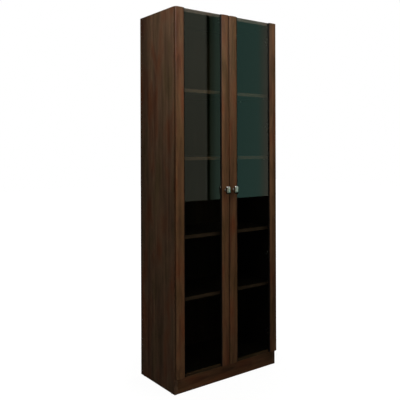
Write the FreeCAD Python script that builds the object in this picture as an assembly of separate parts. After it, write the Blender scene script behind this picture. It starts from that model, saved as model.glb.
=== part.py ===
import FreeCAD, Part
import math
import os

# Two-door glazed bookcase: a flat-pack carcass of foil-faced board, five compartments,
# and two full-height glass doors hung at the sides on single-pivot concealed hinges.
#
# Millimetres. +Z is up and Z = 0 is the floor. X = 0 is the middle of the width, and the
# doors face -Y. Y = 0 is half way between the knobs' faces and the rear edges.

Vector = FreeCAD.Vector
X_AXIS = Vector(1, 0, 0)
Y_AXIS = Vector(0, 1, 0)
Z_AXIS = Vector(0, 0, 1)

# ---- Carcass -------------------------------------------------------------------------
overall_height = 2000.0
overall_width = 708.0
carcass_depth = 338.0
board = 18.0
edge_round = 0.6
plinth_top = 80.0
rear_plinth_inset = 60.0

shelf_setback = 20.0
shelf_side_gap = 1.0
shelf_back_gap = 2.0
lower_shelf_z = 469.0
middle_shelf_z = 794.0
upper_shelf_z = 1207.5
top_shelf_z = 1566.0

back_thickness = 3.0
back_inset = 8.0
back_groove_depth = 6.0

# ---- Doors ---------------------------------------------------------------------------
door_stand_off = 2.5
door_centre_gap = 2.5
door_bottom_reveal = 6.0
door_top_reveal = 2.0
stile_width = 54.0
stile_thickness = 18.0
stile_corner_radius = 7.0
stile_crown_radius = 120.0
stile_back_round = 2.0
glass_thickness = 4.0
glass_bite = 8.0
glass_end_inset = 1.5
glass_from_stile_back = 5.5
seal_wall = 1.0
seal_lip_width = 2.5
seal_lip_height = 4.0

# ---- Knobs ---------------------------------------------------------------------------
knob_z = 1042.0
knob_width = 28.0
knob_height = 42.0
knob_head_depth = 13.0
knob_projection = 27.0
knob_corner_radius = 8.0
knob_face_radius = 70.0
knob_edge_round = 2.5
knob_neck_radius = 6.0
knob_foot_radius = 8.0
knob_foot_height = 3.0
knob_thread_depth = 10.0

# ---- Hinges --------------------------------------------------------------------------
hinge_end_distance = 100.0
hinge_pin_from_edge = 7.5
hinge_pin_depth = 9.5
hinge_pin_radius = 1.5
hinge_running_clearance = 0.08
hinge_pin_end = 0.4
hinge_cheek_gap = 0.4
hinge_cheek_thickness = 1.4
hinge_cheek_reach = 4.0
cup_radius = 17.4
cup_edge_distance = 3.1
cup_wall = 0.8
cup_floor_clearance = 0.35
cup_flange_thickness = 0.8
cup_flange_height = 62.0
cup_flange_width = 20.0
cup_screw_spacing = 50.0
arm_thickness = 2.0
arm_eye_wall = 1.0
arm_eye_height = 10.0
arm_height = 14.0
arm_length = 58.0
arm_screw_setback = 48.0
plate_thickness = 1.5
plate_start = 22.0
plate_length = 42.0
plate_wing_width = 16.0
plate_wing_height = 48.0
plate_screw_setback = 37.0
plate_screw_spacing = 32.0

# ---- Shelf pins ----------------------------------------------------------------------
pin_radius = 2.5
pin_plug_length = 9.0
pin_hole_depth = 10.0
pin_row_inset = 64.0
pin_hole_pitch = 32.0
pin_levels = 3
pin_seat_width = 8.0
pin_seat_length = 9.0
pin_seat_rise = 4.2
pin_seat_depth = 2.0

# ---- Knock-down fittings -------------------------------------------------------------
cam_radius = 7.4
cam_height = 12.6
cam_distance = 24.0
cam_recess_width = 1.6
cam_recess_depth = 2.5
bolt_shaft_radius = 3.0
bolt_head_radius = 3.4
bolt_head_length = 3.0
bolt_thread_radius = 2.5
bolt_thread_length = 11.0
bolt_bore_radius = 4.0
dowel_radius = 4.0
dowel_length = 30.0
dowel_in_side = 10.0
fitting_inset = 50.0
dowel_pitch = 32.0
plinth_dowel_pitch = 22.0
fit_clearance = 0.1
hole_end_clearance = 1.0

# ---- Screws --------------------------------------------------------------------------
wood_screw_radius = 1.5
wood_screw_head_radius = 3.0
wood_screw_head_height = 1.6
wood_screw_length = 14.0
plate_screw_radius = 2.5
plate_screw_head_radius = 4.2
plate_screw_head_height = 2.0
plate_screw_length = 12.0
arm_screw_radius = 2.0
arm_screw_head_radius = 4.5
arm_screw_head_height = 2.2
knob_screw_radius = 2.0
knob_screw_head_radius = 4.0
knob_screw_head_height = 2.0
back_screw_spacing = 250.0
back_screw_length = 25.0
screw_cross_width = 0.8
screw_cross_depth = 0.8

# ---- Glides, bumpers and catches -----------------------------------------------------
glide_height = 3.0
glide_radius = 8.5
glide_inset = 30.0
glide_nail_radius = 1.2
glide_nail_length = 12.0
bumper_radius = 4.0
bumper_thickness = 2.2
bumper_offset = 12.0
catch_width = 20.0
catch_height = 15.0
catch_length = 38.0
catch_wall = 2.0
catch_ear_length = 9.0
catch_ear_thickness = 2.5
catch_setback = 1.0
catch_gap = 0.3
catch_pole_thickness = 1.6
catch_magnet_length = 22.0
catch_magnet_height = 8.0
strike_width = 16.0
strike_height = 26.0
strike_thickness = 1.2
strike_screw_length = 11.0

# ---- Derived places ------------------------------------------------------------------
side_x = -overall_width / 2
inner_x = side_x + board
overall_depth = knob_projection + stile_thickness + door_stand_off + carcass_depth
y_back = overall_depth / 2
y_front = y_back - carcass_depth
back_rear_y = y_back - back_inset
back_front_y = back_rear_y - back_thickness

bottom_panel_top = plinth_top + board
top_panel_z = overall_height - board
door_bottom = plinth_top + door_bottom_reveal
door_top = overall_height - door_top_reveal
stile_back_y = y_front - door_stand_off
stile_front_y = stile_back_y - stile_thickness
door_inner_x = -door_centre_gap / 2
inner_stile_x = door_inner_x - stile_width
stile_centre_x = door_inner_x - stile_width / 2
glass_back_y = stile_back_y - glass_from_stile_back
glass_front_y = glass_back_y - glass_thickness
groove_depth = glass_bite + seal_wall
groove_front_y = glass_front_y - seal_wall
groove_back_y = glass_back_y + seal_wall

pin_x = side_x + hinge_pin_from_edge
pin_y = stile_back_y - hinge_pin_depth
# One hinge near each end of the door, and one half way up each of two compartments, so
# that no mounting plate meets a shelf.
hinge_heights = [
    door_bottom + hinge_end_distance,
    (lower_shelf_z + board + middle_shelf_z) / 2,
    (upper_shelf_z + board + top_shelf_z) / 2,
    door_top - hinge_end_distance,
]
cup_x = side_x + cup_edge_distance + cup_radius
arm_eye_radius = hinge_pin_radius + hinge_running_clearance + arm_eye_wall
cup_depth = hinge_pin_depth + arm_eye_radius + cup_floor_clearance + cup_wall
cheek_middle = arm_eye_height / 2 + hinge_cheek_gap + hinge_cheek_thickness / 2
pin_half_length = cheek_middle + hinge_cheek_thickness / 2 + hinge_pin_end
arm_x = inner_x + plate_thickness
arm_tip_y = pin_y - arm_eye_radius
cup_screw_z = cup_screw_spacing / 2
plate_screw_z = plate_screw_spacing / 2

catch_centre_z = top_panel_z - catch_height / 2
catch_front_y = y_front + catch_setback
strike_front_y = stile_back_y + strike_thickness


# ---- Small helpers -------------------------------------------------------------------
def box(x0, x1, y0, y1, z0, z1):
    return Part.makeBox(x1 - x0, y1 - y0, z1 - z0, Vector(x0, y0, z0))


def board_blank(x0, x1, y0, y1, z0, z1, round_along):
    """Board with softened edges along the given directions, as edge banding leaves them."""
    blank = box(x0, x1, y0, y1, z0, z1)
    edges = [e for e in blank.Edges if any(abs(e.tangentAt(e.FirstParameter) * a) > 0.9 for a in round_along)]
    return blank.makeFillet(edge_round, edges)


def rod(x, y, z, axis, radius, length):
    return Part.makeCylinder(radius, length, Vector(x, y, z), axis)


def mirrored(shape):
    return shape.mirror(Vector(0, 0, 0), X_AXIS)


def both_sides(shapes):
    return shapes + [mirrored(shape) for shape in shapes]


def cut_all(shape, tools):
    return shape.cut(Part.makeCompound(tools)).removeSplitter() if tools else shape


def rows(front_y, rear_y):
    """Depths of the two cam fittings in a board end."""
    return [front_y + fitting_inset, rear_y - fitting_inset]


def screw(x, y, z, axis, head_radius, head_height, shank_radius, length):
    """Pan-head cross screw. The point is under its head and axis is the way it is driven."""
    head = rod(x, y, z, axis * -1, head_radius, head_height)
    body = head.fuse(rod(x, y, z, axis, shank_radius, length))
    top = Vector(x, y, z) - axis * head_height
    across = Z_AXIS if abs(axis.z) < 0.5 else Y_AXIS
    side = axis.cross(across)
    arm = head_radius * 0.6
    for run, other in ((across, side), (side, across)):
        corner = top - run * arm - other * (screw_cross_width / 2)
        slot = Part.Face(
            Part.makePolygon(
                [
                    corner,
                    corner + run * (2 * arm),
                    corner + run * (2 * arm) + other * screw_cross_width,
                    corner + other * screw_cross_width,
                    corner,
                ]
            )
        ).extrude(axis * screw_cross_depth)
        body = body.cut(slot)
    return body


def screw_hole(x, y, z, axis, radius, length):
    return rod(x, y, z, axis, radius + fit_clearance, length + hole_end_clearance)


nodes = {}
side_cuts = []


# ---- Cam fittings and dowels ---------------------------------------------------------
# A steel bolt is screwed into the side panel and runs into the board's end, where a round
# cam set in the board's face turns and pulls it tight. Dowels beside it keep it in line.
cam_bolts = []
cam_locks = []
wood_dowels = []


def cam_fitting(y, z, face, axis):
    """Left end of a board. face is a point on the cam's face, and axis points into the board."""
    side_cuts.append(
        rod(inner_x, y, z, X_AXIS * -1, bolt_thread_radius + fit_clearance,
            bolt_thread_length + hole_end_clearance)
    )
    thread = rod(inner_x, y, z, X_AXIS * -1, bolt_thread_radius, bolt_thread_length)
    shaft = rod(inner_x, y, z, X_AXIS, bolt_shaft_radius, cam_distance)
    head_x = inner_x + cam_distance - bolt_head_length / 2
    head = rod(head_x, y, z, X_AXIS, bolt_head_radius, bolt_head_length)
    cam_bolts.append(thread.fuse(shaft).fuse(head))

    cam = rod(face.x, face.y, face.z, axis, cam_radius, cam_height)
    reach = bolt_head_length / 2 + hole_end_clearance
    cam = cam.cut(rod(inner_x, y, z, X_AXIS, bolt_bore_radius, cam_distance + reach))
    across = Y_AXIS if abs(axis.z) > 0.5 else Z_AXIS
    for run in (X_AXIS, across):
        half = run * (cam_radius * 0.6)
        wide = axis.cross(run) * (cam_recess_width / 2)
        corners = [face - half - wide, face + half - wide, face + half + wide, face - half + wide]
        slot = Part.Face(Part.makePolygon(corners + corners[:1]))
        cam = cam.cut(slot.extrude(axis * cam_recess_depth))
    cam_locks.append(cam)
    return [
        rod(inner_x, y, z, X_AXIS, bolt_bore_radius, cam_distance),
        rod(face.x, face.y, face.z, axis, cam_radius + fit_clearance, cam_height + fit_clearance),
    ]


def dowel(y, z):
    """Left end of a board: the dowel, its hole in the side, and the cut that the board needs."""
    hole_radius = dowel_radius + fit_clearance
    start = inner_x - dowel_in_side
    in_board = dowel_length - dowel_in_side + hole_end_clearance
    side_cuts.append(rod(inner_x, y, z, X_AXIS * -1, hole_radius, dowel_in_side + hole_end_clearance))
    wood_dowels.append(rod(start, y, z, X_AXIS, dowel_radius, dowel_length))
    return rod(inner_x, y, z, X_AXIS, hole_radius, in_board)


def fixed_board(front_y, rear_y, z, cams_on_top):
    """Board across the carcass, held at each end by two cam fittings and two dowels."""
    middle_z = z + board / 2
    face_z = z + board if cams_on_top else z
    axis = Z_AXIS * (-1 if cams_on_top else 1)
    cuts = []
    for y in rows(front_y, rear_y):
        cuts += cam_fitting(y, middle_z, Vector(inner_x + cam_distance, y, face_z), axis)
    cuts.append(dowel(front_y + fitting_inset + dowel_pitch, middle_z))
    cuts.append(dowel(rear_y - fitting_inset - dowel_pitch, middle_z))
    blank = board_blank(inner_x, -inner_x, front_y, rear_y, z, z + board, [X_AXIS])
    return cut_all(blank, both_sides(cuts))


def plinth_board(front_y):
    """Upright board under the bottom panel. Its cams are on its rear face."""
    rear_y = front_y + board
    middle_y = front_y + board / 2
    middle_z = (glide_height + plinth_top) / 2
    cuts = cam_fitting(middle_y, middle_z, Vector(inner_x + cam_distance, rear_y, middle_z), Y_AXIS * -1)
    cuts.append(dowel(middle_y, middle_z - plinth_dowel_pitch))
    cuts.append(dowel(middle_y, middle_z + plinth_dowel_pitch))
    blank = board_blank(inner_x, -inner_x, front_y, rear_y, glide_height, plinth_top, [X_AXIS])
    return cut_all(blank, both_sides(cuts))


# ---- Fixed boards and the back -------------------------------------------------------
def back_groove(z0, z1):
    """Groove for the back, in the sides and in the top panel's underside."""
    reach = back_groove_depth
    return box(inner_x - reach, -inner_x + reach, back_front_y, back_rear_y, z0, z1)


top_panel = fixed_board(y_front, y_back, top_panel_z, True)
bottom_panel = fixed_board(y_front, back_front_y, plinth_top, False)
middle_shelf = fixed_board(y_front + shelf_setback, back_front_y, middle_shelf_z, False)
groove_top = top_panel_z + back_groove_depth
back_panel = back_groove(plinth_top, groove_top)
top_panel = top_panel.cut(back_panel)
side_cuts.append(box(inner_x - back_groove_depth, inner_x, back_front_y, back_rear_y, plinth_top, groove_top))

back_screws = []
for screw_z in (plinth_top + board / 2, middle_shelf_z + board / 2):
    for i in (-1, 0, 1):
        place = (i * back_screw_spacing, back_rear_y, screw_z)
        hole = screw_hole(*place, Y_AXIS * -1, wood_screw_radius, back_screw_length)
        back_panel = back_panel.cut(hole)
        bottom_panel = bottom_panel.cut(hole)
        middle_shelf = middle_shelf.cut(hole)
        back_screws.append(
            screw(*place, Y_AXIS * -1, wood_screw_head_radius, wood_screw_head_height,
                  wood_screw_radius, back_screw_length)
        )

nodes["bottom_panel"] = bottom_panel
nodes["middle_shelf"] = middle_shelf
nodes["back_panel"] = back_panel
nodes["back_panel_screws"] = back_screws
nodes["front_plinth"] = plinth_board(y_front)
nodes["rear_plinth"] = plinth_board(back_front_y - rear_plinth_inset)


# ---- Adjustable shelves and their pins -----------------------------------------------
def loose_shelf(z):
    half = -inner_x - shelf_side_gap
    rear_y = back_front_y - shelf_back_gap
    return board_blank(-half, half, y_front + shelf_setback, rear_y, z, z + board, [X_AXIS])


def shelf_pin(y, shelf_z):
    """Steel plug in the side panel's hole, with a seat that the shelf lies on."""
    axis_z = shelf_z - pin_seat_rise
    plug = rod(inner_x, y, axis_z, X_AXIS * -1, pin_radius, pin_plug_length)
    half = pin_seat_width / 2
    seat = box(inner_x, inner_x + pin_seat_length, y - half, y + half, axis_z - pin_seat_depth, shelf_z)
    return plug.fuse(seat)


shelf_pins = []
for name, shelf_z in (
    ("lower_shelf", lower_shelf_z),
    ("upper_shelf", upper_shelf_z),
    ("top_shelf", top_shelf_z),
):
    nodes[name] = loose_shelf(shelf_z)
    for y in (y_front + pin_row_inset, y_back - pin_row_inset):
        shelf_pins.append(shelf_pin(y, shelf_z))
        for level in range(pin_levels):
            hole_z = shelf_z - pin_seat_rise + (level - (pin_levels - 1) / 2) * pin_hole_pitch
            side_cuts.append(
                rod(inner_x, y, hole_z, X_AXIS * -1, pin_radius + fit_clearance, pin_hole_depth)
            )
nodes["shelf_pins"] = both_sides(shelf_pins)


# ---- Door stiles, glass and seals ----------------------------------------------------
def stile_blank(x):
    """Moulded stile from x, with a gently crowned front and round front corners."""
    r = stile_corner_radius
    crown = stile_crown_radius
    tilt = math.asin((stile_width / 2 - r) / (crown - r))
    centre_y = stile_front_y + crown
    corner_y = centre_y - (crown - r) * math.cos(tilt)
    centre_x = x + stile_width / 2
    back = stile_back_y
    soft = stile_back_round

    def on_arc(cx, cy, radius, angle):
        """Point on an arc, with the angle measured from the straight front direction."""
        return Vector(cx + radius * math.sin(angle), cy - radius * math.cos(angle), 0)

    quarter = math.pi / 2
    left_x = x + r
    right_x = x + stile_width - r
    mid_corner = (quarter + tilt) / 2
    start = Vector(x, back - soft, 0)
    left_low = Vector(x, corner_y, 0)
    left_top = on_arc(left_x, corner_y, r, -tilt)
    right_top = on_arc(right_x, corner_y, r, tilt)
    right_low = Vector(x + stile_width, corner_y, 0)
    end = Vector(x + stile_width, back - soft, 0)
    back_right = Vector(x + stile_width - soft, back, 0)
    back_left = Vector(x + soft, back, 0)
    turn = soft * math.sqrt(0.5)
    edges = [
        Part.makeLine(start, left_low),
        Part.Arc(left_low, on_arc(left_x, corner_y, r, -mid_corner), left_top).toShape(),
        Part.Arc(left_top, Vector(centre_x, stile_front_y, 0), right_top).toShape(),
        Part.Arc(right_top, on_arc(right_x, corner_y, r, mid_corner), right_low).toShape(),
        Part.makeLine(right_low, end),
        Part.Arc(end, Vector(end.x - soft + turn, back - soft + turn, 0), back_right).toShape(),
        Part.makeLine(back_right, back_left),
        Part.Arc(back_left, Vector(x + soft - turn, back - soft + turn, 0), start).toShape(),
    ]
    face = Part.Face(Part.Wire(edges))
    face.translate(Vector(0, 0, door_bottom))
    return face.extrude(Vector(0, 0, door_top - door_bottom))


def groove(x0):
    return box(x0, x0 + groove_depth, groove_front_y, groove_back_y, door_bottom, door_top)


outer_groove_x = side_x + stile_width - groove_depth
glass_x0 = outer_groove_x + seal_wall
glass_x1 = inner_stile_x + glass_bite
glass_z0 = door_bottom + glass_end_inset
glass_z1 = door_top - glass_end_inset
outer_stile = stile_blank(side_x).cut(groove(outer_groove_x))
inner_stile = stile_blank(inner_stile_x).cut(groove(inner_stile_x))
glass_pane = box(glass_x0, glass_x1, glass_front_y, glass_back_y, glass_z0, glass_z1)
slot = box(glass_x0, glass_x1, glass_front_y, glass_back_y, door_bottom, door_top)


def glazing_seal(groove_x, flank_x, into_pane, stile):
    """Channel seal in a stile's groove. Its front lip fills the corner of glass and stile."""
    lip_xs = sorted((flank_x - into_pane * seal_lip_width, flank_x + into_pane * seal_lip_width))
    lip_front_y = glass_front_y - seal_lip_height
    lip = box(*lip_xs, lip_front_y, glass_front_y, door_bottom, door_top).cut(stile)
    return groove(groove_x).cut(slot).fuse(lip).removeSplitter()


glazing_seals = [
    glazing_seal(outer_groove_x, side_x + stile_width, 1, outer_stile),
    glazing_seal(inner_stile_x, inner_stile_x, -1, inner_stile),
]


# ---- Concealed hinges ----------------------------------------------------------------
# A pressed cup is let into the back of the stile. A cranked arm, screwed to a plate on the
# side panel, reaches into the cup and ends in an eye round a steel pin near the door's
# outer edge, so the door turns about that pin and clears the side panel.
def hinge_cup(z):
    """Pressed cup with a flange, and two cheeks inside it that hold the pin."""
    half = cup_flange_height / 2
    wide = cup_flange_width / 2
    flange_front = stile_back_y + cup_flange_thickness
    cup_floor_y = stile_back_y - cup_depth
    flange = box(cup_x - wide, cup_x + wide, stile_back_y, flange_front, z - half, z + half)
    rim = rod(cup_x, stile_back_y, z, Y_AXIS, cup_radius, cup_flange_thickness)
    body = rod(cup_x, cup_floor_y, z, Y_AXIS, cup_radius, cup_depth).fuse(flange).fuse(rim)
    hollow = rod(cup_x, cup_floor_y + cup_wall, z, Y_AXIS, cup_radius - cup_wall,
                 cup_depth + cup_flange_thickness)
    body = body.cut(hollow)
    room = rod(cup_x, cup_floor_y, z, Y_AXIS, cup_radius, cup_depth)
    holes = [
        rod(pin_x, pin_y, z - pin_half_length, Z_AXIS, hinge_pin_radius + hinge_running_clearance / 2,
            2 * pin_half_length)
    ]
    for side in (-1, 1):
        cheek_z = z + side * cheek_middle
        half_cheek = hinge_cheek_thickness / 2
        cheek = box(cup_x - cup_radius, pin_x + hinge_cheek_reach, cup_floor_y, stile_back_y,
                    cheek_z - half_cheek, cheek_z + half_cheek)
        body = body.fuse(cheek.common(room))
        holes.append(
            rod(cup_x, stile_back_y, z + side * cup_screw_z, Y_AXIS, wood_screw_radius + fit_clearance,
                cup_flange_thickness)
        )
    return cut_all(body, holes)


def hinge_pin(z):
    """Steel pin across the arm's eye, riveted in the cup's two cheeks."""
    return rod(pin_x, pin_y, z - pin_half_length, Z_AXIS, hinge_pin_radius, 2 * pin_half_length)


def hinge_arm(z):
    """Cranked steel arm: an eye round the pin, a foot along the cup's floor, and a long leg."""
    low = z - arm_eye_height / 2
    tall = arm_height / 2
    outer_x = arm_x + arm_thickness
    eye = rod(pin_x, pin_y, low, Z_AXIS, arm_eye_radius, arm_eye_height)
    foot = box(pin_x, outer_x, arm_tip_y, arm_tip_y + arm_thickness, low, low + arm_eye_height)
    neck = box(arm_x, outer_x, arm_tip_y, y_front + arm_thickness, low, low + arm_eye_height)
    leg = box(arm_x, outer_x, y_front, y_front + arm_length, z - tall, z + tall)
    arm = eye.fuse(foot).fuse(neck).fuse(leg)
    way = rod(pin_x, pin_y, low, Z_AXIS, hinge_pin_radius + hinge_running_clearance, arm_eye_height)
    screw_way = rod(arm_x, y_front + arm_screw_setback, z, X_AXIS, arm_screw_radius + fit_clearance,
                    arm_thickness)
    return cut_all(arm, [way, screw_way])


def hinge_plate(z):
    """Cross-shaped plate on the side panel, under the arm."""
    tall = arm_height / 2
    wing = plate_wing_height / 2
    wide = plate_wing_width / 2
    start = y_front + plate_start
    wing_y = y_front + plate_screw_setback
    spine = box(inner_x, arm_x, start, start + plate_length, z - tall, z + tall)
    wings = box(inner_x, arm_x, wing_y - wide, wing_y + wide, z - wing, z + wing)
    holes = [rod(inner_x, y_front + arm_screw_setback, z, X_AXIS, arm_screw_radius + fit_clearance,
                 plate_thickness)]
    for side in (-1, 1):
        holes.append(rod(inner_x, wing_y, z + side * plate_screw_z, X_AXIS,
                         plate_screw_radius + fit_clearance, plate_thickness))
    return cut_all(spine.fuse(wings), holes)


hinge_cups = []
hinge_pins = []
hinge_cup_screws = []
hinge_arms = []
hinge_arm_screws = []
hinge_plates = []
hinge_plate_screws = []
outer_stile_cuts = []
for z in hinge_heights:
    hinge_cups.append(hinge_cup(z))
    hinge_pins.append(hinge_pin(z))
    hinge_arms.append(hinge_arm(z))
    hinge_plates.append(hinge_plate(z))
    bore_depth = cup_depth + fit_clearance
    outer_stile_cuts.append(
        rod(cup_x, stile_back_y, z, Y_AXIS * -1, cup_radius + fit_clearance, bore_depth)
    )
    arm_screw_y = y_front + arm_screw_setback
    arm_screw_reach = arm_thickness + plate_thickness - fit_clearance
    hinge_arm_screws.append(
        screw(arm_x + arm_thickness, arm_screw_y, z, X_AXIS * -1, arm_screw_head_radius,
              arm_screw_head_height, arm_screw_radius, arm_screw_reach)
    )
    for side in (-1, 1):
        cup_screw_y = stile_back_y + cup_flange_thickness
        place = (cup_x, cup_screw_y, z + side * cup_screw_z)
        hinge_cup_screws.append(
            screw(*place, Y_AXIS * -1, wood_screw_head_radius, wood_screw_head_height / 2,
                  wood_screw_radius, wood_screw_length)
        )
        outer_stile_cuts.append(screw_hole(*place, Y_AXIS * -1, wood_screw_radius, wood_screw_length))
        place = (arm_x, y_front + plate_screw_setback, z + side * plate_screw_z)
        hinge_plate_screws.append(
            screw(*place, X_AXIS * -1, plate_screw_head_radius, plate_screw_head_height,
                  plate_screw_radius, plate_screw_length)
        )
        side_cuts.append(screw_hole(*place, X_AXIS * -1, plate_screw_radius, plate_screw_length))
outer_stile = cut_all(outer_stile, outer_stile_cuts)
nodes["hinge_arms"] = both_sides(hinge_arms)
nodes["hinge_arm_screws"] = both_sides(hinge_arm_screws)
nodes["hinge_mounting_plates"] = both_sides(hinge_plates)
nodes["hinge_plate_screws"] = both_sides(hinge_plate_screws)


# ---- Knob ----------------------------------------------------------------------------
def knob():
    """Upright soft-cornered head with a slightly domed face, on a short round neck."""
    x = stile_centre_x
    half_w = knob_width / 2
    half_h = knob_height / 2
    face_y = stile_front_y - knob_projection
    head_back_y = face_y + knob_head_depth
    head = box(x - half_w, x + half_w, face_y, head_back_y, knob_z - half_h, knob_z + half_h)
    along_y = [e for e in head.Edges if abs(e.tangentAt(e.FirstParameter).y) > 0.9]
    head = head.makeFillet(knob_corner_radius, along_y)
    head = head.common(Part.makeSphere(knob_face_radius, Vector(x, face_y + knob_face_radius, knob_z)))
    softened = [e for e in head.Edges if abs(e.tangentAt(e.FirstParameter).y) < 0.9]
    head = head.makeFillet(knob_edge_round, [e for e in softened if e.CenterOfMass.y < head_back_y - 1])
    neck = rod(x, stile_front_y, knob_z, Y_AXIS * -1, knob_neck_radius, knob_projection - knob_head_depth)
    foot = rod(x, stile_front_y, knob_z, Y_AXIS * -1, knob_foot_radius, knob_foot_height)
    body = head.fuse(neck).fuse(foot)
    thread = rod(x, stile_front_y, knob_z, Y_AXIS * -1, knob_screw_radius + fit_clearance,
                 knob_thread_depth + hole_end_clearance)
    return body.cut(thread)


knob_screw_length = stile_thickness + knob_thread_depth
knob_place = (stile_centre_x, stile_back_y, knob_z)
knob_screw = screw(*knob_place, Y_AXIS * -1, knob_screw_head_radius, knob_screw_head_height,
                   knob_screw_radius, knob_screw_length)
inner_stile = inner_stile.cut(
    rod(*knob_place, Y_AXIS * -1, knob_screw_radius + fit_clearance, stile_thickness)
)

# ---- Magnetic catch and door bumpers -------------------------------------------------
# The catch hangs under the top panel. Its two steel poles reach out to a strike plate on
# the back of the door's inner stile.
catch_x0 = stile_centre_x - catch_width / 2
catch_x1 = stile_centre_x + catch_width / 2
catch_z0 = top_panel_z - catch_height
catch_rear_y = catch_front_y + catch_length
ear_x0 = catch_x0 - catch_ear_length
ear_x1 = catch_x1 + catch_ear_length
catch_middle_y = (catch_front_y + catch_rear_y) / 2
catch_body = box(catch_x0, catch_x1, catch_front_y, catch_rear_y, catch_z0, top_panel_z)
catch_ears = box(ear_x0, ear_x1, catch_middle_y - catch_ear_length, catch_middle_y + catch_ear_length,
                 top_panel_z - catch_ear_thickness, top_panel_z)
pole_z0 = catch_centre_z - catch_magnet_height / 2 - catch_wall / 2
pole_z1 = catch_centre_z + catch_magnet_height / 2 + catch_wall / 2
pole_x0 = catch_x0 + catch_wall
pole_x1 = catch_x1 - catch_wall
pole_rear_y = catch_front_y + catch_magnet_length
pole_front_y = strike_front_y + catch_gap
catch_room = box(pole_x0, pole_x1, catch_front_y, pole_rear_y, pole_z0, pole_z1)
catch_housing = catch_body.fuse(catch_ears).cut(catch_room)
catch_poles = [
    box(pole_x0, pole_x0 + catch_pole_thickness, pole_front_y, pole_rear_y, pole_z0, pole_z1),
    box(pole_x1 - catch_pole_thickness, pole_x1, pole_front_y, pole_rear_y, pole_z0, pole_z1),
]
catch_magnet = box(pole_x0 + catch_pole_thickness, pole_x1 - catch_pole_thickness, catch_front_y,
                   pole_rear_y, pole_z0, pole_z1)
catch_screws = []
for x in (ear_x0 + catch_ear_length / 2, ear_x1 - catch_ear_length / 2):
    place = (x, catch_middle_y, top_panel_z - catch_ear_thickness)
    hole = screw_hole(*place, Z_AXIS, wood_screw_radius, wood_screw_length)
    catch_housing = catch_housing.cut(hole)
    top_panel = top_panel.cut(hole).cut(mirrored(hole))
    catch_screws.append(
        screw(*place, Z_AXIS, wood_screw_head_radius, wood_screw_head_height, wood_screw_radius,
              wood_screw_length)
    )
strike_plate = box(stile_centre_x - strike_width / 2, stile_centre_x + strike_width / 2, stile_back_y,
                   strike_front_y, catch_centre_z - strike_height, catch_centre_z + catch_height / 2)
strike_place = (stile_centre_x, strike_front_y, catch_centre_z - strike_height * 0.75)
strike_hole = screw_hole(*strike_place, Y_AXIS * -1, wood_screw_radius, strike_screw_length)
strike_plate = strike_plate.cut(strike_hole)
inner_stile = inner_stile.cut(strike_hole)
strike_screw = screw(*strike_place, Y_AXIS * -1, wood_screw_head_radius, wood_screw_head_height / 2,
                     wood_screw_radius, strike_screw_length)
nodes["catch_housings"] = both_sides([catch_housing])
nodes["catch_magnets"] = both_sides([catch_magnet])
nodes["catch_pole_plates"] = both_sides(catch_poles)
nodes["catch_screws"] = both_sides(catch_screws)

bumper_heights = (
    (door_bottom + bottom_panel_top) / 2,
    (top_panel_z + door_top) / 2,
)
bumpers = [
    rod(door_inner_x - bumper_offset, y_front, z, Y_AXIS * -1, bumper_radius, bumper_thickness)
    for z in bumper_heights
]
nodes["door_bumpers"] = both_sides(bumpers)
nodes["top_panel"] = top_panel

# ---- Floor glides --------------------------------------------------------------------
# Plastic discs, each with a nail driven up into a side panel's bottom edge.
glides = []
for y in (y_front + glide_inset, y_back - glide_inset):
    middle = side_x + board / 2
    disc = rod(middle, y, 0, Z_AXIS, glide_radius, glide_height)
    nail = rod(middle, y, glide_height, Z_AXIS, glide_nail_radius, glide_nail_length)
    glides.append(disc.fuse(nail))
    side_cuts.append(screw_hole(middle, y, glide_height, Z_AXIS, glide_nail_radius, glide_nail_length))
nodes["floor_glides"] = both_sides(glides)

# ---- Side panels, once every hole in them is known -----------------------------------
side_blank = board_blank(side_x, inner_x, y_front, y_back, glide_height, overall_height, [Y_AXIS, Z_AXIS])
side_panel = cut_all(side_blank, side_cuts)
nodes["left_side_panel"] = side_panel
nodes["right_side_panel"] = mirrored(side_panel)
nodes["cam_bolts"] = both_sides(cam_bolts)
nodes["cam_locks"] = both_sides(cam_locks)
nodes["wood_dowels"] = both_sides(wood_dowels)

# ---- The two doors, alike but mirrored -----------------------------------------------
door_pieces = {
    "outer_stile": [outer_stile],
    "inner_stile": [inner_stile],
    "glass_pane": [glass_pane],
    "glazing_seals": glazing_seals,
    "hinge_cups": hinge_cups,
    "hinge_pins": hinge_pins,
    "hinge_cup_screws": hinge_cup_screws,
    "knob": [knob()],
    "knob_screw": [knob_screw],
    "strike_plate": [strike_plate],
    "strike_screw": [strike_screw],
}
for piece, shapes in door_pieces.items():
    nodes["left_door_" + piece] = shapes
    nodes["right_door_" + piece] = [mirrored(shape) for shape in shapes]

# ---- One STEP file per node ----------------------------------------------------------
os.makedirs("parts", exist_ok=True)
for name, shape in nodes.items():
    if isinstance(shape, list):
        shape = shape[0] if len(shape) == 1 else Part.makeCompound(shape)
    shape.exportStep("parts/" + name + ".step")
    print(name, len(shape.Solids), "solids, volume", round(shape.Volume, 1), "valid", shape.isValid())
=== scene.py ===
import math

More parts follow.
